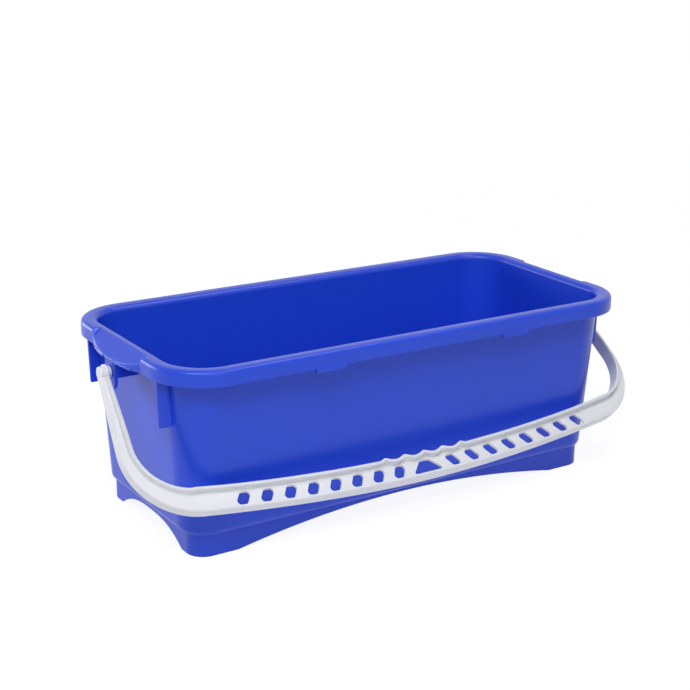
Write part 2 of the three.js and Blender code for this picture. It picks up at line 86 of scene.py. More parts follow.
# %% [markdown]
# ## Skins through rows of loops
#
# Injection-moulded plastic has no seams, so each moulding is one closed skin. Box modelling with bevels
# would give it, but every shape here is really a row of loops with the same number of points: levels of
# the tub, sections of the handle, outlines of a rib. Skinning such a row with quads gives long clean
# faces, on which a glossy plastic shows no kinks, and one function serves for all of them.

# %% Skin a row of loops and make a piece of it
def skin(loops):
    count = len(loops[0])
    points = [point for loop in loops for point in loop]
    faces = []
    for start in range(0, len(points) - count, count):
        for i in range(count):
            j = (i + 1) % count
            faces.append((start + i, start + j, start + j + count, start + i + count))
    faces += [range(count), range(len(points) - count, len(points))]
    return points, faces


def make_piece(name, skins):
    points, faces = [], []
    for skin_points, skin_faces in skins:
        faces += [[len(points) + i for i in face] for face in skin_faces]
        points += skin_points
    mesh = bpy.data.meshes.new(name)
    mesh.from_pydata(points, [], faces)
    body = bmesh.new()
    body.from_mesh(mesh)
    bmesh.ops.recalc_face_normals(body, faces=body.faces)
    body.to_mesh(mesh)
    body.free()
    piece = bpy.data.objects.new(name, mesh)
    bpy.context.scene.collection.objects.link(piece)
    return piece


# %% [markdown]
# Joining and cutting is left to the manifold boolean. It wants closed skins, and a mould's skin is closed,
# so it is fast and never drops a part. The exact boolean lost whole ribs here, because the quads of a bent
# skin aren't flat. Each shape is joined by itself and baked into the mesh, so shapes may overlap.

# %% Join and cut
def volume_of(mesh):
    body = bmesh.new()
    body.from_mesh(mesh)
    volume = body.calc_volume()
    body.free()
    return volume


def combine(piece, operation, skins):
    for shape in skins:
        tool = make_piece("tool", [shape])
        modifier = piece.modifiers.new(operation, "BOOLEAN")
        modifier.operation = operation
        modifier.solver = "MANIFOLD"
        modifier.object = tool
        evaluated = piece.evaluated_get(bpy.context.evaluated_depsgraph_get())
        result = bpy.data.meshes.new_from_object(evaluated)
        piece.modifiers.clear()
        piece.data = result
        bpy.data.objects.remove(tool)
    volume = volume_of(piece.data) / 1000
    print(f"{piece.name}: {operation.lower()} with {len(skins)} shapes, {volume:.1f} cm3")


# %% [markdown]
# ## The tub's levels
#
# Seen from above, every level of the tub is a rectangle with round corners, so three numbers describe a
# level. The walls lean outwards by 4 degrees. That draft lets the tub leave its mould, and it is why such
# buckets stack.

# %% Levels as rounded rectangles
Outline = namedtuple("Outline", "half_length half_width corner")

RIM = Outline(260.0, 122.0, 54.0)
RIM_DROP = 15.3
RIM_REACH = 14.4
DRAFT = math.radians(4)
WALL = 2.6
FLOOR = 2.8
SKIRT_HEIGHT = 21.5
LEDGE_HEIGHT = 7.5
LEDGE_DEPTH = 6.0
WALL_FOOT_CORNER = 29.6
SKIRT_CORNER = 18.0
EDGE = 0.8


def inset(outline, distance):
    corner = max(outline.corner - distance, EDGE)
    return Outline(outline.half_length - distance, outline.half_width - distance, corner)


def mix(a, b, share):
    return a + (b - a) * share


def between(a, b, share):
    return Outline(*(mix(x, y, share) for x, y in zip(a, b)))


RIM_UNDER = TUB_HEIGHT - RIM_DROP
LEDGE_TOP = SKIRT_HEIGHT + LEDGE_HEIGHT
FLOOR_TOP = SKIRT_HEIGHT + FLOOR
WALL_TOP = inset(RIM, RIM_REACH)
WALL_LEAN = math.tan(DRAFT) * (RIM_UNDER - LEDGE_TOP)
WALL_FOOT = inset(WALL_TOP, WALL_LEAN)._replace(corner=WALL_FOOT_CORNER)
SKIRT = inset(WALL_FOOT, LEDGE_DEPTH)._replace(corner=SKIRT_CORNER)


def wall_at(z):
    return between(WALL_FOOT, WALL_TOP, (z - LEDGE_TOP) / (RIM_UNDER - LEDGE_TOP))


print(f"inside floor about {2 * (wall_at(FLOOR_TOP).half_length - WALL):.0f} mm long")

# %% [markdown]
# ## The flares over the pivots
#
# At each end the rolled rim opens into a flat shelf that slopes out over the handle's pivot, with an edge
# that bows out in one arc. On the real tub the shelf and the rim are one skin with a softly rounded step
# between them, so the shelf isn't made as a separate plate. Each level of the rim knows a second place, the
# one that it has on the shelf, and near the middle of each end the skin moves over to it. The skin's inner
# side moves over one wall thickness later, so the step is as thick as the rest.

# %% The shelf's slope, its bowed edge and the step beside it
FLARE_HALF_WIDTH = 51.0
FLARE_STEP = 1.6
FLARE_REACH = 8.0
FLARE_DROP = 13.4
CREST_INSET = 7.4
CREST_END = RIM.half_length - CREST_INSET
FLARE_END = RIM.half_length + FLARE_REACH
FLARE_SLOPE = math.atan2(FLARE_DROP, FLARE_END - CREST_END)
FLARE_BOW = (FLARE_HALF_WIDTH ** 2 + FLARE_REACH ** 2) / (2 * FLARE_REACH)
FLARE_INNER_HALF_WIDTH = FLARE_HALF_WIDTH + WALL


def flare_top(x):
    return TUB_HEIGHT - (x - CREST_END) * math.tan(FLARE_SLOPE)


def flare_edge(y):
    return FLARE_END - FLARE_BOW + math.sqrt(FLARE_BOW ** 2 - y ** 2)


def smooth(share):
    share = min(max(share, 0.0), 1.0)
    return share * share * (3 - 2 * share)


def flare_weight(y, half_width):
    return smooth((half_width + FLARE_STEP - abs(y)) / (2 * FLARE_STEP))


print(f"the shelf slopes by {math.degrees(FLARE_SLOPE):.0f} degrees")

# %% [markdown]
# A level becomes a ring of points. Along the ends the points stand close together at the two steps,
# because a rounding is only as smooth as the points that draw it.

# %% Points of one ring
CORNER_STEPS = 20
SIDE_STEPS = 12
SHELF_STEPS = 10
STEP_STEPS = 14
BESIDE_SHELF_STATIONS = (58.0, 63.0)


def end_stations():
    step_start, step_end = FLARE_HALF_WIDTH - FLARE_STEP, FLARE_INNER_HALF_WIDTH + FLARE_STEP
    half = [mix(0, step_start, i / SHELF_STEPS) for i in range(SHELF_STEPS)]
    half += [mix(step_start, step_end, i / STEP_STEPS) for i in range(STEP_STEPS + 1)]
    half += BESIDE_SHELF_STATIONS
    return [-y for y in reversed(half[1:])] + half


END_STATIONS = end_stations()
Level = namedtuple("Level", "outline z shelf half_width", defaults=(None, FLARE_HALF_WIDTH))


def corner_points(outline, quarter):
    side_x, side_y = ((1, 1), (-1, 1), (-1, -1), (1, -1))[quarter]
    centre_x = side_x * (outline.half_length - outline.corner)
    centre_y = side_y * (outline.half_width - outline.corner)
    radius = outline.corner
    angles = [math.pi / 2 * (quarter + i / CORNER_STEPS) for i in range(CORNER_STEPS + 1)]
    return [(centre_x + radius * math.cos(a), centre_y + radius * math.sin(a)) for a in angles]


def ring(level):
    """The points of a level. Its shelf, if it has one, gives a second x and z for each y."""
    outline, z = level.outline, level.z
    straight = outline.half_length - outline.corner
    stations = [straight * (2 * i / SIDE_STEPS - 1) for i in range(1, SIDE_STEPS)]
    points = []
    for quarter in range(4):
        points += [(x, y, z) for x, y in corner_points(outline, quarter)]
        side = 1 if quarter in (0, 3) else -1
        if quarter in (0, 2):
            points += [(-side * x, side * outline.half_width, z) for x in stations]
        else:
            for y in END_STATIONS:
                shelf_x, shelf_z = level.shelf(y) if level.shelf else (outline.half_length, z)
                weight = flare_weight(y, level.half_width)
                x = mix(outline.half_length, shelf_x, weight)
                points.append((side * x, side * y, mix(z, shelf_z, weight)))
    return points


print(f"{len(ring(Level(RIM, 0)))} points in each ring")

# %% [markdown]
# ## Rounded corners
#
# Polypropylene is never moulded with a knife edge, and it is the narrow highlight along a small rounding
# that tells the eye how thick a wall is. This function rounds the corners of any outline, each with its
# own radius. A bevel modifier could do it on the finished mesh, but it would fail where loops are dense.

# %% Round the corners of an outline
ROUND_STEPS = 4


def rounded(corners, steps=ROUND_STEPS):
    """Points of an outline whose corners are (u, v, radius). A radius of 0 gives a plain point."""
    points = []
    for i, (u, v, radius) in enumerate(corners):
        here = Vector((u, v))
        if not radius:
            points.append(here)
            continue
        to_before = (Vector(corners[i - 1][:2]) - here).normalized()
        to_after = (Vector(corners[(i + 1) % len(corners)][:2]) - here).normalized()
        half = to_before.angle(to_after) / 2
        centre = here + (to_before + to_after).normalized() * radius / math.sin(half)
        arm = here + to_before * radius / math.tan(half) - centre
        turn = math.copysign(math.pi - 2 * half, to_after.cross(to_before))
        for step in range(steps + 1):
            points.append(centre + Matrix.Rotation(turn * step / steps, 2) @ arm)
    return points


# %% [markdown]
# ## The tub's skin
#
# The section of the tub is drawn once, from the middle of the floor up the inside, over the rim, down the
# channel under it, down the outside and in under the foot. The rim is an open channel that hangs over the
# wall, because a solid rim of this size would sink as it cools. Its lip ends a crown's height under the
# crest, so the rim's top rises a little towards the outside.

# %% From the floor up to the lip
FLOOR_ROUND = 8.0
FLAT_INSET = 3 * FLOOR_ROUND
LIP_ROUND = 5.5
CROWN = 0.3
ARC_STEPS = 8


def quarter_arc(steps=ARC_STEPS):
    """Sine and one minus cosine along a quarter turn, the start left out."""
    angles = [math.pi / 2 * (i + 1) / steps for i in range(steps)]
    return [(math.sin(a), 1 - math.cos(a)) for a in angles]


inner_foot = inset(wall_at(FLOOR_TOP + FLOOR_ROUND), WALL)
levels = [Level(inset(inner_foot, distance), FLOOR_TOP) for distance in (FLAT_INSET, FLOOR_ROUND)]
for s, c in quarter_arc():
    levels.append(Level(inset(inner_foot, FLOOR_ROUND * (1 - s)), FLOOR_TOP + FLOOR_ROUND * c))
lip_start = TUB_HEIGHT - CROWN - LIP_ROUND
inner_top = inset(wall_at(lip_start), WALL)
levels.append(Level(inner_top, lip_start))
for s, c in quarter_arc():
    levels.append(Level(inset(inner_top, -LIP_ROUND * c), lip_start + LIP_ROUND * s))
print(f"{len(levels)} levels from the floor to the lip")

# %% [markdown]
# From the crest the rim turns down over a shoulder. It is fuller than a quarter circle: the flatness is the
# power that its arc is raised to, where 1 would be round and less is squarer. The shelf's path needs as
# many points as the rim's, because the skin moves from one to the other point by point.

# %% Over the shoulder, or down the shelf's slope, to the rim's lower edge
SHOULDER = 6.0
FLATNESS = 0.66
FOLD_ROUND = 3.0
SHELF_EDGE_ROUND = 1.2
SPARE_POINT = 9

shoulder = []
for s, c in quarter_arc():
    x = RIM.half_length - CREST_INSET * (1 - s ** FLATNESS)
    shoulder.append((x, TUB_HEIGHT - SHOULDER * (1 - (1 - c) ** FLATNESS)))
face_middle = (RIM.half_length, mix(TUB_HEIGHT - SHOULDER, RIM_UNDER, 0.5))
lower_edge = rounded([
    (RIM.half_length, TUB_HEIGHT, 0), (RIM.half_length, RIM_UNDER, EDGE), (0, RIM_UNDER, 0)])
rim_path = [(CREST_END, TUB_HEIGHT), *shoulder, face_middle, *lower_edge[1:-1]]


def shelf_path(y):
    """As many points as the rim's path: one of the shelf edge's rounding is left out."""
    edge = flare_edge(y)
    middle = mix(CREST_END, edge, 0.5)
    path = rounded([
        (CREST_END - CREST_INSET, TUB_HEIGHT, 0), (CREST_END, TUB_HEIGHT, FOLD_ROUND),
        (middle, flare_top(middle), 0), (edge, flare_top(edge), SHELF_EDGE_ROUND),
        (edge, RIM_UNDER, EDGE / 2), (CREST_END, RIM_UNDER, 0),
    ])[1:-1]
    del path[SPARE_POINT]
    return path


for i, (x, z) in enumerate(rim_path):
    levels.append(Level(inset(RIM, RIM.half_length - x), z, lambda y, i=i: shelf_path(y)[i]))
print(f"{len(rim_path)} levels from the crest to the rim's lower edge")

# %% [markdown]
# From the lower edge the skin turns back up on the inside, which leaves the channel open underneath. Its
# bends are hidden, so three levels draw them. Near the foot the wall steps in over a rounded ledge to the
# skirt. The skirt is open underneath too, and it keeps the floor off the ground, where it would wear.

# %% Up inside the rim's channel and back to the wall
RIM_SKIN = 2.5
shelf_skin_drop = WALL / math.cos(FLARE_SLOPE)


def under_slope(x):
    return x, flare_top(x) - shelf_skin_drop


for outline, z, shelf in (
    (inset(RIM, RIM_SKIN), RIM_UNDER, lambda y: (flare_edge(y) - RIM_SKIN, RIM_UNDER)),
    (inset(RIM, RIM_SKIN), TUB_HEIGHT - SHOULDER, lambda y: under_slope(flare_edge(y) - RIM_SKIN)),
    (inset(RIM, CREST_INSET), TUB_HEIGHT - RIM_SKIN, lambda y: under_slope(CREST_END)),
):
    levels.append(Level(outline, z, shelf, FLARE_INNER_HALF_WIDTH))
channel_top = TUB_HEIGHT - RIM_SKIN - CROWN
levels.append(Level(wall_at(channel_top), channel_top))
print(f"the channel is open up to {channel_top:.1f} mm over the ground")

# %% Down the outside, over the ledge, round the foot and in under the floor
SKIRT_WALL = 2.6
levels.append(Level(wall_at(LEDGE_TOP), LEDGE_TOP))
for s, c in quarter_arc():
    levels.append(Level(between(WALL_FOOT, SKIRT, c), LEDGE_TOP - LEDGE_HEIGHT * s))
foot = rounded([(0, SKIRT_HEIGHT, 0), (0, 0, EDGE), (SKIRT_WALL, 0, EDGE), (SKIRT_WALL, SKIRT_HEIGHT, 0)])
for distance, z in foot[1:]:
    levels.append(Level(inset(SKIRT, distance), z))
levels.append(Level(inset(SKIRT, FLAT_INSET), SKIRT_HEIGHT))

tub = make_piece("tub_moulding", [skin([ring(level) for level in levels])])
print(f"tub skin: {len(levels)} levels, {len(tub.data.polygons)} faces")

# %% [markdown]
# ## Plates, rods and holes
#
# The small parts of the moulding are plates with an outline and rods with a changing radius. A plate's
# edges are rounded by drawing its outline a little smaller near each face. The same plate with its outline
# drawn larger there is the cutter for a hole whose rims are rounded.

# %% Plates and rods
def offset(outline, distance):
    """The outline with every side moved outwards. Its points run counter-clockwise."""
    moved = []
    for i, here in enumerate(outline):
        along_in = (here - outline[i - 1]).normalized()
        along_out = (outline[(i + 1) % len(outline)] - here).normalized()
        out = Vector((along_in.y + along_out.y, -along_in.x - along_out.x))
        moved.append(here + out * distance / (1 + along_in.dot(along_out)))
    return moved


def thickness_stations(low, high, edge, side):
    """Heights through a thickness, each with the shift of the outline that rounds both faces."""
    rim = [(edge * (1 - s), side * edge * c) for s, c in [(0, 0), *quarter_arc(ROUND_STEPS)]]
    stations = [(low + depth, shift) for depth, shift in reversed(rim)]
    return stations + [(high - depth, shift) for depth, shift in rim]


def layers(outline, stations, place):
    return skin([[place(u, v, w) for u, v in offset(outline, shift)] for w, shift in stations])


def plate(outline, low, high, edge, place):
    return layers(outline, thickness_stations(low, high, edge, -1), place)


def hole_cutter(outline, low, high, edge, place, beyond=4.0):
    stations = thickness_stations(low, high, edge, 1)
    return layers(outline, [(low - beyond, edge), *stations, (high + beyond, edge)], place)


def rod(profile, place, sides=40):
    """A turned shape. Its profile is (along, radius) from end to end."""
    angles = [2 * math.pi * i / sides for i in range(sides)]
    return skin([[place(r * math.cos(a), r * math.sin(a), along) for a in angles] for along, r in profile])


def facing_x(side):
    return lambda u, v, w: (side * w, side * u, v)


def facing_y(side):
    return lambda u, v, w: (-side * u, side * w, v)


# %% [markdown]
# ## Ears, beads, guard ribs and stacking tabs
#
# Under each shelf hangs an ear, a plate with a round foot and a hole for the handle's pin, and two gussets
# tie it to the wall. Thin beads stiffen the shelf's edge on both sides of the ear. Two guard ribs further
# out keep a swinging handle from wedging under the rim. The small tabs under the long rims stop stacked
# buckets from jamming together.

# %% Ears and gussets
PIVOT_DROP = 26.8
PIVOT_HEIGHT = TUB_HEIGHT - PIVOT_DROP
EAR_HALF_WIDTH = 10.5
EAR_SETBACK = 1.7
EAR = 3.0
EAR_BELOW_PIVOT = 17.0
EAR_HOLE = 4.0
GUSSET_BELOW_PIVOT = 4.0
INTO_SKIN = 0.4
ROOT = 1.0
EAR_STEPS = 12
FINE_EDGE = 0.5
EAR_FACE = FLARE_END - EAR_SETBACK
EAR_BACK = EAR_FACE - EAR

ear_foot = PIVOT_HEIGHT - EAR_BELOW_PIVOT
ear_top = flare_top(EAR_FACE) - INTO_SKIN
ear_outline = rounded([
    (-EAR_HALF_WIDTH, ear_top, FINE_EDGE), (-EAR_HALF_WIDTH, ear_foot, EAR_HALF_WIDTH - EDGE),
    (EAR_HALF_WIDTH, ear_foot, EAR_HALF_WIDTH - EDGE), (EAR_HALF_WIDTH, ear_top, FINE_EDGE),
], EAR_STEPS)
rib_top = TUB_HEIGHT - RIM_SKIN + INTO_SKIN
gusset_foot = PIVOT_HEIGHT - GUSSET_BELOW_PIVOT
gusset_end = EAR_BACK + ROOT
gusset_outline = [Vector(corner) for corner in (
    (wall_at(gusset_foot).half_length - ROOT, gusset_foot), (gusset_end, gusset_foot),
    (gusset_end, flare_top(gusset_end) - shelf_skin_drop / 2), (CREST_END, TUB_HEIGHT - shelf_skin_drop / 2),
    (wall_at(rib_top).half_length - ROOT, rib_top),
)]


def along_y(side):
    return lambda u, v, w: (side * u, w, v)


additions = []
for side in (-1, 1):
    additions.append(plate(ear_outline, EAR_BACK, EAR_FACE, FINE_EDGE, facing_x(side)))
    for low in (-EAR_HALF_WIDTH, EAR_HALF_WIDTH - WALL):
        additions.append(plate(gusset_outline, low, low + WALL, FINE_EDGE / 2, along_y(side)))
print(f"ear {EAR_BACK:.1f} to {EAR_FACE:.1f} mm from the middle")

# %% [markdown]
# A bead is a rod that follows the shelf's bowed edge. Its radius falls to nothing at both ends, in the round
# run-out that a ball cutter leaves in the mould's steel.

# %% Beads along the shelf's edge
BEAD = 1.6
BEAD_START = EAR_HALF_WIDTH
BEAD_END = FLARE_HALF_WIDTH - 11.0
BEAD_STEPS = 8
BEAD_SIDES = 16
bead_round = [
    (BEAD * (1 - s), BEAD * math.sqrt(1 - (1 - s) ** 2)) for s, c in reversed(quarter_arc()[:-1])]
bead_profile = [(BEAD_START + along, r) for along, r in bead_round]
for i in range(BEAD_STEPS + 1):
    bead_profile.append((mix(BEAD_START + BEAD, BEAD_END - BEAD, i / BEAD_STEPS), BEAD))
bead_profile += [(BEAD_END - along, r) for along, r in reversed(bead_round)]


def bead_place(side_x, side_y):
    return lambda u, v, along: (
        side_x * (flare_edge(along) - BEAD / 2 + u), side_y * along, RIM_UNDER + BEAD / 2 + v)


for side in (-1, 1):
    additions += [rod(bead_profile, bead_place(side, side_y), BEAD_SIDES) for side_y in (-1, 1)]
print(f"beads from {BEAD_START} to {BEAD_END} mm beside the middle")

# %% [markdown]
# A guard rib is a plate that stands out from the end wall and runs up into the rim's channel. A stacking tab
# is a plate with two round corners under the rim's lower edge. Each reaches a little way into the skin that
# it belongs to, because a boolean needs shapes that overlap and not shapes that only touch.

# %% Guard ribs
GUARD_HALF_SPACING = 73.5
GUARD = 3.0
GUARD_REACH_TOP = 10.4
GUARD_REACH_FOOT = 11.8
GUARD_DROP = 45.5
GUARD_ROUND = 1.0

guard_foot = RIM_UNDER - GUARD_DROP
guard_wall = wall_at(guard_foot).half_length
guard_top = WALL_TOP.half_length + GUARD_REACH_TOP
guard_outline = rounded([
    (guard_wall - ROOT, guard_foot, 0), (guard_wall + GUARD_REACH_FOOT, guard_foot, GUARD_ROUND),
    (guard_top, RIM_UNDER, 0), (guard_top, rib_top, 0),
    (wall_at(rib_top).half_length - ROOT, rib_top, 0),
])
print(f"guard ribs hang {GUARD_DROP} mm under the rim, {GUARD_HALF_SPACING} mm beside the middle")

# %% Stacking tabs, and everything joined to the tub
TAB_LENGTH = 31.0
TAB_HALF_SPACING = 106.0
TAB_DROP = 3.6
TAB_PROUD = 0.7
TAB_INTO_RIM = 2.0

tab_foot = RIM_UNDER - TAB_DROP
tab_top = RIM_UNDER + TAB_INTO_RIM
tab_outline = rounded([
    (TAB_LENGTH / 2, tab_foot, TAB_DROP / 2), (TAB_LENGTH / 2, tab_top, 0),
    (-TAB_LENGTH / 2, tab_top, 0), (-TAB_LENGTH / 2, tab_foot, TAB_DROP / 2),
])


def tab_place(x, side):
    return lambda u, v, w: (x + u, side * w, v)


tab_low, tab_high = RIM.half_width - RIM_SKIN, RIM.half_width + TAB_PROUD
for side in (-1, 1):
    for side_y in (-1, 1):
        low = side_y * GUARD_HALF_SPACING - GUARD / 2
        additions.append(plate(guard_outline, low, low + GUARD, FINE_EDGE, along_y(side)))
    for x in (-TAB_HALF_SPACING, TAB_HALF_SPACING):
        additions.append(plate(tab_outline, tab_low, tab_high, FINE_EDGE, tab_place(x, side)))
combine(tub, "UNION", additions)

# %% [markdown]
# The foot skirt is arched away on all four sides, so the bucket stands on its corners and doesn't rock on
# an uneven step. Both arches are one curve with a different fullness: 2 gives a parabola, and more gives a
# flatter top with steeper ends.

# %% Arches and ear holes
ARCH_STEPS = 48
ARCH_ROUND = 0.8
BELOW_FOOT = 5.0
HOLE_SIDES = 48


def arch_outline(half_span, height, fullness):
    curve = []
    for i in range(ARCH_STEPS + 1):
        share = math.cos(math.pi * i / ARCH_STEPS)
        curve.append(Vector((half_span * share, height * (1 - abs(share) ** fullness))))
    return [Vector((-half_span, -BELOW_FOOT)), Vector((half_span, -BELOW_FOOT)), *curve]


side_arch = arch_outline(half_span=185.0, height=17.7, fullness=2.0)
end_arch = arch_outline(half_span=64.0, height=16.0, fullness=2.7)
ear_hole = []
for i in range(HOLE_SIDES):
    angle = 2 * math.pi * i / HOLE_SIDES
    ear_hole.append(Vector((EAR_HOLE * math.cos(angle), PIVOT_HEIGHT + EAR_HOLE * math.sin(angle))))
cuts = []
for side in (-1, 1):
    for arch, face, place in (
        (side_arch, SKIRT.half_width, facing_y(side)), (end_arch, SKIRT.half_length, facing_x(side)),
    ):
        cuts.append(hole_cutter(arch, face - SKIRT_WALL, face, ARCH_ROUND, place))
    cuts.append(hole_cutter(ear_hole, EAR_BACK, EAR_FACE, FINE_EDGE / 2, facing_x(side), beyond=1.5))
combine(tub, "DIFFERENCE", cuts)

# %% [markdown]
# ## The handle's band
#
# The handle is a band that runs from one pivot round the grip to the other. Its section is a thin web
# between two flanges, like a steel beam's, which is stiff for little plastic. The inner edge has scallops
# for the fingers. Both edges are drawn as a leg, a bend and the shallow crown of the grip, with the same
# number of stations, so a section can be stretched between them at every station.

# %% Both edges of the band, as distances across from the middle and reaches from the pivot
Edge = namedtuple("Edge", "across splay bend reach crown")
GAP = 0.3
SHOULDER_LENGTH = 3.4
LEG_INNER = EAR_FACE + GAP + SHOULDER_LENGTH
LEG_WIDTH = 7.7
FINGER_ROOM = 27.3
GRIP_BAND = 20.8
CROWN_RADIUS = 1750.0
INNER_REACH = math.hypot(RIM.half_width, PIVOT_DROP) + FINGER_ROOM
INNER = Edge(
    across=LEG_INNER, splay=0.095, bend=47.0, reach=INNER_REACH, crown=CROWN_RADIUS - GRIP_BAND)
OUTER = Edge(
    across=LEG_INNER + LEG_WIDTH, splay=0.131, bend=66.0, reach=INNER_REACH + GRIP_BAND, crown=CROWN_RADIUS)
SCALLOP_PITCH = 22.0
SCALLOP_CRESTS = 5
SCALLOP_RISE = 2.1
SCALLOP_DEPTH = 3.1
CREST_SHARPNESS = 0.2
SCALLOP_CREST_REACH = (SCALLOP_CRESTS - 1) / 2 * SCALLOP_PITCH
SCALLOP_REACH = SCALLOP_CREST_REACH + SCALLOP_PITCH / 2
LEG_STEPS, BEND_STEPS, CROWN_STEPS, SCALLOP_STEPS = 8, 24, 8, 44


def scallop(across):
    """How far the finger edge stands proud of the plain crown."""
    wave = math.hypot(math.sin(math.pi * across / SCALLOP_PITCH), CREST_SHARPNESS) - CREST_SHARPNESS
    rise = SCALLOP_RISE - SCALLOP_DEPTH * wave / (math.hypot(1, CREST_SHARPNESS) - CREST_SHARPNESS)
    return max(rise, 0) if abs(across) > SCALLOP_CREST_REACH else rise


def crown_at(edge, across):
    return edge.reach - edge.crown + math.sqrt(edge.crown ** 2 - across ** 2)


def band_edge(edge, scalloped):
    along = Vector((edge.splay, 1)).normalized()
    inward = Vector((-along.y, along.x))
    crown_centre = Vector((0, edge.reach - edge.crown))
    start = Vector((edge.across, 0)) + inward * edge.bend - crown_centre
    half = start.dot(along)
    run = math.sqrt(half * half + (edge.crown - edge.bend) ** 2 - start.length_squared) - half
    arm = start + along * run
    first, last = math.atan2(-inward.y, -inward.x), math.atan2(arm.y, arm.x)
    bend_centre = crown_centre + arm
    points = [Vector((edge.across, 0)) + along * run * i / LEG_STEPS for i in range(LEG_STEPS)]
    for i in range(BEND_STEPS):
        angle = mix(first, last, i / BEND_STEPS)
        points.append(bend_centre + Vector((math.cos(angle), math.sin(angle))) * edge.bend)
    crown_start = bend_centre.x + edge.bend * math.cos(last)
    across = [mix(crown_start, SCALLOP_REACH, i / CROWN_STEPS) for i in range(CROWN_STEPS)]
    across += [mix(SCALLOP_REACH, 0, i / SCALLOP_STEPS) for i in range(SCALLOP_STEPS + 1)]
    points += [Vector((x, crown_at(edge, x) - (scallop(x) if scalloped else 0))) for x in across]
    return [Vector((-p.x, p.y)) for p in points] + points[-2::-1]


inner_edge, outer_edge = band_edge(INNER, True), band_edge(OUTER, False)
print(f"{len(inner_edge)} stations along the band, {2 * SCALLOP_REACH:.0f} mm of scallops")

# %% [markdown]
# The section changes along the band: the flanges grow from the pivots towards the grip, where the hand
# needs a broad hold. Its corners are rounded in the section, and small fillets join the web to the flanges.
# Only the inner flange also stands out in front, and every flange's height counts from the web's middle.

# %% One section of the band, and the skin through all of them
WEB = 3.0
FLANGE = 3.0
FILLET = 0.8
FLANGE_EDGE = 0.9
OUTER_ROUND = 1.8
INNER_BACK = 7.0
INNER_FRONT_AT_PIVOT, INNER_FRONT_AT_GRIP = 5.5, 8.5
OUTER_BACK_AT_PIVOT, OUTER_BACK_AT_BEND, OUTER_BACK_AT_GRIP = 6.0, 9.0, 12.5


def section(inner, outer):
    """Corners as (distance from the inner edge, height over the web's middle, radius)."""
    width = (outer - inner).length
    front_growth = smooth(inner.y / (INNER.reach / 2))
    back_growth = smooth(outer.y / (OUTER.reach / 2))
    to_middle = 1 - smooth(abs(outer.x) / (OUTER.across - OUTER.bend))
    front = mix(INNER_FRONT_AT_PIVOT, INNER_FRONT_AT_GRIP, front_growth)
    back = mix(mix(OUTER_BACK_AT_PIVOT, OUTER_BACK_AT_BEND, back_growth), OUTER_BACK_AT_GRIP, to_middle)
    return width, rounded([
        (0, front, FLANGE_EDGE), (FLANGE, front, FLANGE_EDGE), (FLANGE, WEB / 2, FILLET),
        (width, WEB / 2, OUTER_ROUND), (width, -back, FLANGE_EDGE), (width - FLANGE, -back, FLANGE_EDGE),
        (width - FLANGE, -WEB / 2, FILLET), (FLANGE, -WEB / 2, FILLET),
        (FLANGE, -INNER_BACK, FLANGE_EDGE), (0, -INNER_BACK, FLANGE_EDGE),
    ])


def outwards(edge, i):
    tangent = (edge[min(i + 1, len(edge) - 1)] - edge[max(i - 1, 0)]).normalized()
    return Vector((tangent.y, -tangent.x)) if edge[0].x > 0 else Vector((-tangent.y, tangent.x))


def band_loop(i):
    inner, outer = inner_edge[i], outer_edge[i]
    width, outline = section(inner, outer)
    loop = []
    for distance, height in outline:
        if distance < width / 2:
            across, reach = inner + outwards(inner_edge, i) * distance
        else:
            across, reach = outer - outwards(outer_edge, i) * (width - distance)
        loop.append((across, -reach, height))
    return loop


bail = make_piece("bail_moulding", [skin([band_loop(i) for i in range(len(inner_edge))])])
print(f"band: {len(bail.data.polygons)} faces")

# %% [markdown]
# ## The handle's pivots
#
# Each leg ends in a wide round flange on the inside, a narrower boss and a small disc on the outside. From
# the flange a shoulder reaches to the ear, a pin passes through the ear, and a small head behind the ear
# snaps in and keeps it there. All of it is turned about one axis, so it is one profile from the head to the
# disc. Each corner is a distance from the tub's middle, a radius and the rounding that the mould gives it.

# %% Boss, shoulder, pin and snap head
PIN = 3.6
SHOULDER_RADIUS = 5.6
END_FLANGE = 7.6
BOSS = 5.9
OUTER_DISC = 6.0
OUTER_DISC_THICKNESS = 2.8
HEAD = 4.8
HEAD_TIP = 2.6
HEAD_LENGTH = 3.4
HEAD_BAND = 0.5
leg_outer = LEG_INNER + LEG_WIDTH
boss_start = LEG_INNER + FLANGE
disc_start = leg_outer - OUTER_DISC_THICKNESS
shoulder_start = EAR_FACE + GAP
head_start = EAR_BACK - GAP
head_end = head_start - HEAD_LENGTH
pivot_profile = rounded([
    (head_end, 0, 0), (head_end, HEAD_TIP, 0.6),
    (head_start - HEAD_BAND, HEAD, 0.3), (head_start, HEAD, 0.2),
    (head_start, PIN, 0.2), (shoulder_start, PIN, 0.2),
    (shoulder_start, SHOULDER_RADIUS, 0.5), (LEG_INNER, SHOULDER_RADIUS, 0.3),
    (LEG_INNER, END_FLANGE, 0.5), (boss_start, END_FLANGE, 0.8),
    (boss_start, BOSS, 0.3), (disc_start, BOSS, 0.3),
    (disc_start, OUTER_DISC, 0.6), (leg_outer, OUTER_DISC, 1.2), (leg_outer, 0, 0),
])[1:-1]
pivots = [rod(pivot_profile, lambda u, v, w, side=side: (side * w, u, v)) for side in (-1, 1)]
combine(bail, "UNION", pivots)

# %% [markdown]
# ## The holes in the web
#
# Slanted slots lighten the grip's web on both sides of the scallops, and they lean towards the middle. The
# middle has one wide tapered hole instead.

# %% Grip holes
HOLES_PER_SIDE = 8
FIRST_HOLE = 31.2
HOLE_PITCH = 23.3
HOLE_WIDTH = 11.8
HOLE_HEIGHT = 12.6
HOLE_SLANT = 7.4
HOLE_CORNER = 3.4
HOLE_BELOW_EDGE = 11.8
MIDDLE_BASE = 35.0
MIDDLE_TOP = 11.0
MIDDLE_CORNER = 1.4
HOLE_EDGE = 0.45
HOLE_CORNER_STEPS = 7


def in_web(u, v, w):
    return (u, v, w)


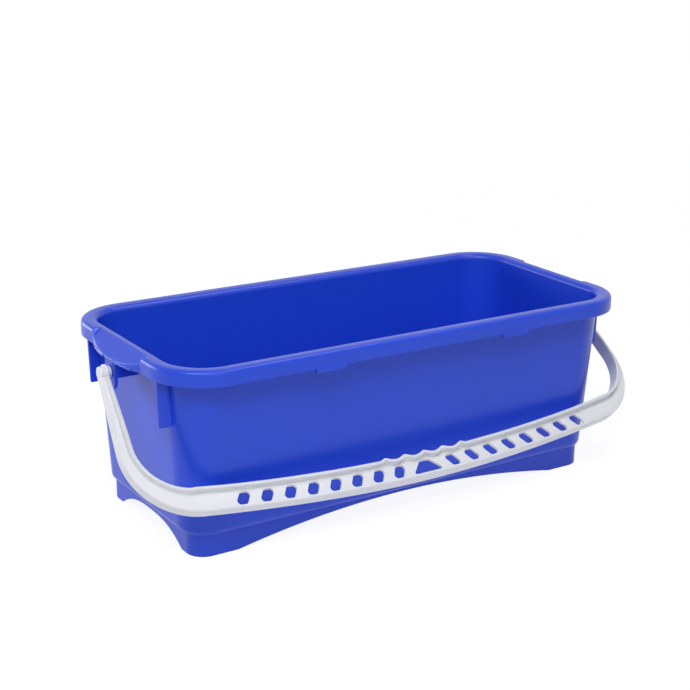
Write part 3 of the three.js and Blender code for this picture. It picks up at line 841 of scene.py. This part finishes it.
holes = []
for i in range(HOLES_PER_SIDE):
    across = FIRST_HOLE + i * HOLE_PITCH
    middle = crown_at(INNER, across) + HOLE_BELOW_EDGE
    lean = Matrix.Rotation(across / INNER.crown, 2)
    corners = [((a * HOLE_WIDTH - b * HOLE_SLANT) / 2, b * HOLE_HEIGHT / 2)
               for a, b in ((-1, -1), (1, -1), (1, 1), (-1, 1))]
    slot = rounded([(u, v, HOLE_CORNER) for u, v in corners], HOLE_CORNER_STEPS)
    outline = [lean @ p + Vector((across, -middle)) for p in slot]
    mirrored = [Vector((-p.x, p.y)) for p in reversed(outline)]
    holes += [hole_cutter(o, -WEB / 2, WEB / 2, HOLE_EDGE, in_web) for o in (outline, mirrored)]
middle = INNER.reach + HOLE_BELOW_EDGE
base, top = -middle - HOLE_HEIGHT / 2, -middle + HOLE_HEIGHT / 2
taper = rounded([(u, v, MIDDLE_CORNER) for u, v in (
    (-MIDDLE_BASE / 2, base), (MIDDLE_BASE / 2, base), (MIDDLE_TOP / 2, top), (-MIDDLE_TOP / 2, top))])
holes.append(hole_cutter(taper, -WEB / 2, WEB / 2, HOLE_EDGE, in_web))
combine(bail, "DIFFERENCE", holes)

# %% [markdown]
# The band was drawn flat. The handle hangs in front of the bucket, turned about its pivots.

# %% Hang the handle in its ears
HANG = math.radians(39.5)
bail.data.transform(Matrix.Translation((0, 0, PIVOT_HEIGHT)) @ Matrix.Rotation(HANG, 4, "X"))
lowest = min(vertex.co.z for vertex in bail.data.vertices)
print(f"the grip's lowest point is {lowest:.1f} mm over the ground")

# %% [markdown]
# ## Shading
#
# Moulded plastic is flat where it is flat and round only along its edges. Plain smooth shading would tint
# a whole wall by the rounding next to it, so edges sharper than 35 degrees stay sharp and the normals are
# weighted by face size. Then the big faces keep their own direction and the roundings do all the turning.

# %% Place both mouldings in the frame and shade them
SHARP = math.radians(35)


def place_in_frame(piece, node, body):
    piece.data.transform(TO_FRAME)
    piece.data.shade_smooth()
    piece.data.set_sharp_from_angle(angle=SHARP)
    weighted = piece.modifiers.new("weighted normals", "WEIGHTED_NORMAL")
    weighted.keep_sharp = True
    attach(piece, body)
    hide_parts(node)
    low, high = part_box(node)
    corners = [piece.matrix_world @ Vector(c) for c in piece.bound_box]
    for axis, name in enumerate("xyz"):
        mine = [c[axis] for c in corners]
        print(f"{piece.name} {name}: {min(mine):.4f} to {max(mine):.4f},",
              f"frame {low[axis]:.4f} to {high[axis]:.4f}")


place_in_frame(tub, "tub", "tub_body")
place_in_frame(bail, "bail_handle", "bail_body")

# %% [markdown]
# ## Materials
#
# Colours are written as sRGB hex values, as they would be picked from a picture, and one function turns
# them to the linear values that Blender's shaders work with. A second one adds a node with its settings
# and links.

# %% Colour and node helpers
def linear(hex_colour):
    parts = [int(hex_colour[i:i + 2], 16) / 255 for i in (1, 3, 5)]
    return tuple(p / 12.92 if p <= 0.04045 else ((p + 0.055) / 1.055) ** 2.4 for p in parts) + (1.0,)


def add_node(tree, kind, settings=None, inputs=None):
    node = tree.nodes.new(kind)
    for name, value in (settings or {}).items():
        setattr(node, name, value)
    for name, value in (inputs or {}).items():
        if isinstance(value, bpy.types.NodeSocket):
            tree.links.new(value, node.inputs[name])
        else:
            node.inputs[name].default_value = value
    return node


# %% [markdown]
# Both mouldings are polypropylene, which has a waxy gloss: it mirrors bright things softly, most of all at
# a flat angle. Its surface isn't perfect. Melt that flowed slowly leaves faint clouds in the colour, the
# mould is polished better in some places than in others, and shrinking walls bow by a fraction of a
# millimetre, which bends long reflections. The mould's steel also leaves a fine grain. A real one is about
# 0.2 mm wide, too fine for a picture of the whole bucket, so it is drawn as coarse as it needs to show.
# Each of the four is a noise whose scale comes from its size in millimetres.

# %% Injection-moulded polypropylene
POLYPROPYLENE_IOR = 1.42
CLOUD_SIZE = 90
POLISH_SIZE = 25
POLISH_SPREAD = 0.04
BOW_SIZE, BOW_DEPTH = 110, 0.5
GRAIN_SIZE, GRAIN_DEPTH = 1.6, 0.012


def per_metre(millimetres):
    """The scale of a noise, in metres, whose features are this big."""
    return 1 / (millimetres * MM)


def moulded_polypropylene(name, light, dark, roughness):
    material = bpy.data.materials.new(name)
    material.use_nodes = True
    tree = material.node_tree
    shader = tree.nodes["Principled BSDF"]
    shader.inputs["IOR"].default_value = POLYPROPYLENE_IOR
    place = add_node(tree, "ShaderNodeTexCoord").outputs["Object"]

    clouds = add_node(tree, "ShaderNodeTexNoise", inputs={
        "Vector": place, "Scale": per_metre(CLOUD_SIZE), "Detail": 3.0, "Roughness": 0.55, "Distortion": 0.6})
    colour = add_node(tree, "ShaderNodeMix", {"data_type": "RGBA"}, {"Factor": clouds.outputs["Fac"]})
    colour.inputs["A"].default_value = linear(dark)
    colour.inputs["B"].default_value = linear(light)
    tree.links.new(colour.outputs["Result"], shader.inputs["Base Color"])

    polish = add_node(tree, "ShaderNodeTexNoise", inputs={
        "Vector": place, "Scale": per_metre(POLISH_SIZE), "Detail": 4.0})
    sheen = add_node(tree, "ShaderNodeMapRange", inputs={
        "Value": polish.outputs["Fac"],
        "To Min": roughness - POLISH_SPREAD, "To Max": roughness + POLISH_SPREAD})
    tree.links.new(sheen.outputs["Result"], shader.inputs["Roughness"])

    grain = add_node(tree, "ShaderNodeTexNoise", inputs={
        "Vector": place, "Scale": per_metre(GRAIN_SIZE), "Detail": 2.0})
    bow = add_node(tree, "ShaderNodeTexNoise", inputs={
        "Vector": place, "Scale": per_metre(BOW_SIZE), "Detail": 1.0})
    bowed = add_node(tree, "ShaderNodeBump", inputs={
        "Height": bow.outputs["Fac"], "Strength": 1.0, "Distance": BOW_DEPTH * MM})
    grained = add_node(tree, "ShaderNodeBump", inputs={
        "Height": grain.outputs["Fac"], "Strength": 1.0, "Distance": GRAIN_DEPTH * MM,
        "Normal": bowed.outputs["Normal"]})
    tree.links.new(grained.outputs["Normal"], shader.inputs["Normal"])
    return material


blue = moulded_polypropylene("blue injection-moulded polypropylene", "#214BDC", "#1E47D5", 0.3)
grey = moulded_polypropylene("light grey injection-moulded polypropylene", "#EAECF1", "#E5E7EC", 0.34)
for piece, plastic in ((tub, blue), (bail, grey)):
    piece.data.materials.clear()
    piece.data.materials.append(plastic)
    print(f"{piece.name}: {plastic.name}")

# %% [markdown]
# ## The studio
#
# The photograph is a product shot on white: a pale floor that runs into a white surround, and soft light
# from the front and the left. The white comes from the floor and the world as the camera sees them, and the
# lamps stay at a plain level, so the plastic keeps the colours that are written above.
#
# The Light Path node tells rays apart. Camera, glossy and transmission rays are the ones that see the
# surround, in a lens, a reflection or a clear material. For them it is white, and every other ray gets what
# really lights the object. The floor and the world need the same test, so it is a function.

# %% A test for rays that see the surround
def add_linked(tree, kind, sources, settings=None):
    """A node whose unnamed inputs come from these sockets, in order."""
    node = add_node(tree, kind, settings)
    for i, source in enumerate(sources):
        tree.links.new(source, node.inputs[i])
    return node


def sees_surround(tree):
    """A socket that is 1 for camera, glossy and transmission rays and 0 for all others."""
    rays = add_node(tree, "ShaderNodeLightPath").outputs
    largest = {"operation": "MAXIMUM"}
    seen = add_linked(tree, "ShaderNodeMath", (rays["Is Camera Ray"], rays["Is Glossy Ray"]), largest)
    return add_linked(
        tree, "ShaderNodeMath", (seen.outputs[0], rays["Is Transmission Ray"]), largest).outputs[0]


# %% [markdown]
# The floor keeps the bucket's shadow. To the camera it is a glow just under white plus a grey paint that the
# lamps light. Where they reach it the sum is white or more, and in the shadow only the glow is left. Away
# from the bucket the glow alone rises to white, so the floor's far edge can't be told from the world. To
# the light that bounces, the floor is a pale paint. The room's own light, which this studio hasn't got,
# would bounce off it too, and a faint glow stands for that.

# %% Floor
GROUND_SIZE = 24.0
SHADOW_GLOW, SHADOW_RANGE = 0.9, 0.5
WHITE_GLOW, WHITE_RANGE = 1.0, 2.5
FLOOR_BOUNCE = 0.15

bpy.ops.mesh.primitive_plane_add(size=GROUND_SIZE)
ground = bpy.context.object
ground.name = "studio_floor"
ground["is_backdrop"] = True


def studio_floor():
    material = bpy.data.materials.new("white studio floor")
    material.use_nodes = True
    tree = material.node_tree
    tree.nodes.clear()
    place = add_node(tree, "ShaderNodeTexCoord").outputs["Object"]
    away = add_node(tree, "ShaderNodeVectorMath", {"operation": "LENGTH"}, {"Vector": place})
    level = add_node(tree, "ShaderNodeMapRange", inputs={
        "Value": away.outputs["Value"], "From Min": SHADOW_RANGE, "From Max": WHITE_RANGE,
        "To Min": SHADOW_GLOW, "To Max": WHITE_GLOW})
    glow = add_node(tree, "ShaderNodeEmission", inputs={"Strength": level.outputs["Result"]})
    shadow_paint = add_node(tree, "ShaderNodeBsdfDiffuse", inputs={"Color": linear("#808080")})
    bounce = add_node(tree, "ShaderNodeEmission", inputs={"Strength": FLOOR_BOUNCE})
    paint = add_node(tree, "ShaderNodeBsdfDiffuse", inputs={"Color": linear("#E6E6E6")})
    lit = add_linked(tree, "ShaderNodeAddShader", (bounce.outputs[0], paint.outputs[0]))
    bright = add_linked(tree, "ShaderNodeAddShader", (glow.outputs[0], shadow_paint.outputs[0]))
    mixed = add_linked(tree, "ShaderNodeMixShader", (sees_surround(tree), lit.outputs[0], bright.outputs[0]))
    add_linked(tree, "ShaderNodeOutputMaterial", mixed.outputs[:1])
    return material


ground.data.materials.append(studio_floor())
print(f"floor {GROUND_SIZE:.0f} m wide, full white from {WHITE_RANGE} m out")

# %% World
AMBIENT = 0.02

world = bpy.data.worlds.new("white surround")
bpy.context.scene.world = world
world.use_nodes = True
sky = world.node_tree
sky.nodes.clear()
strength = add_node(sky, "ShaderNodeMapRange", inputs={
    "Value": sees_surround(sky), "To Min": AMBIENT, "To Max": 1.0})
backdrop = add_node(sky, "ShaderNodeBackground", inputs={
    "Color": linear("#FFFFFF"), "Strength": strength.outputs["Result"]})
add_linked(sky, "ShaderNodeOutputWorld", backdrop.outputs[:1])
print(f"world white to the camera, {AMBIENT} as light")

# %% [markdown]
# A softbox is an area lamp, and its size sets how soft its shadows and highlights are. The strongest one is
# high on the left and lights the end wall, the rim and the handle. Two from the front fill the long wall, a
# small one overhead glints on the rim, and a low one behind on the left gives the end wall its sheen.

# %% Lamps
def aimed(place, direction):
    return Matrix.Translation(place) @ direction.to_track_quat("-Z", "Y").to_matrix().to_4x4()


def softbox(name, place, size, power):
    lamp = bpy.data.lights.new(name, "AREA")
    lamp.shape = "RECTANGLE"
    lamp.size, lamp.size_y = size
    lamp.energy = power
    stand = bpy.data.objects.new(name, lamp)
    bpy.context.scene.collection.objects.link(stand)
    stand.matrix_world = aimed(Vector(place), LAMP_TARGET - Vector(place))
    print(f"{name}: {size[0]} by {size[1]} m, {power} W")


LAMP_TARGET = Vector((0, 0, 0.1))
softbox("overhead softbox", (0.5, -0.25, 1.45), (0.8, 0.4), 4)
softbox("high front softbox", (-0.1, -0.9, 1.7), (1.2, 0.8), 6)
softbox("high left softbox", (-1.0, -0.9, 1.5), (0.9, 0.7), 17)
softbox("front softbox", (-0.4, -1.9, 0.9), (1.2, 0.8), 5)
softbox("left back softbox", (-1.0, 1.2, 0.28), (1.1, 0.5), 10)

# %% [markdown]
# ## The camera
#
# The camera stands where the photographer stood: in front, 33 degrees round to the left, and looking down
# by 17. The small roll and shift are those of the photograph's crop.

# %% Camera
CAMERA_PLACE = Vector((-790.1, -1198.3, 594.0))
AZIMUTH = math.radians(33.28)
ELEVATION = math.radians(16.58)
ROLL = math.radians(0.83)
SENSOR_WIDTH = 36.0
FOCAL_LENGTH = 78.095
SHIFT_X, SHIFT_Y = -0.01089, -0.03335

lens = bpy.data.cameras.new("camera")
lens.sensor_width = SENSOR_WIDTH
lens.lens = FOCAL_LENGTH
lens.shift_x, lens.shift_y = SHIFT_X, SHIFT_Y
camera = bpy.data.objects.new("camera", lens)
bpy.context.scene.collection.objects.link(camera)
bpy.context.scene.camera = camera
forward, down = math.cos(ELEVATION), math.sin(ELEVATION)
view = Vector((math.sin(AZIMUTH) * forward, math.cos(AZIMUTH) * forward, -down))
camera.matrix_world = aimed(TO_FRAME @ CAMERA_PLACE, view) @ Matrix.Rotation(ROLL, 4, "Z")
bpy.context.scene.view_settings.view_transform = "Standard"
print(f"camera {(TO_FRAME @ CAMERA_PLACE).length:.2f} m from the bucket, {FOCAL_LENGTH:.0f} mm lens")

# %% [markdown]
# ## The size and finish
#
# The dressed bucket has to be as big as the frame's solids. Its box is printed, in metres.

# %% Print the size and finish
low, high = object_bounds()
print("visual box, in metres:", tuple(low), tuple(high))
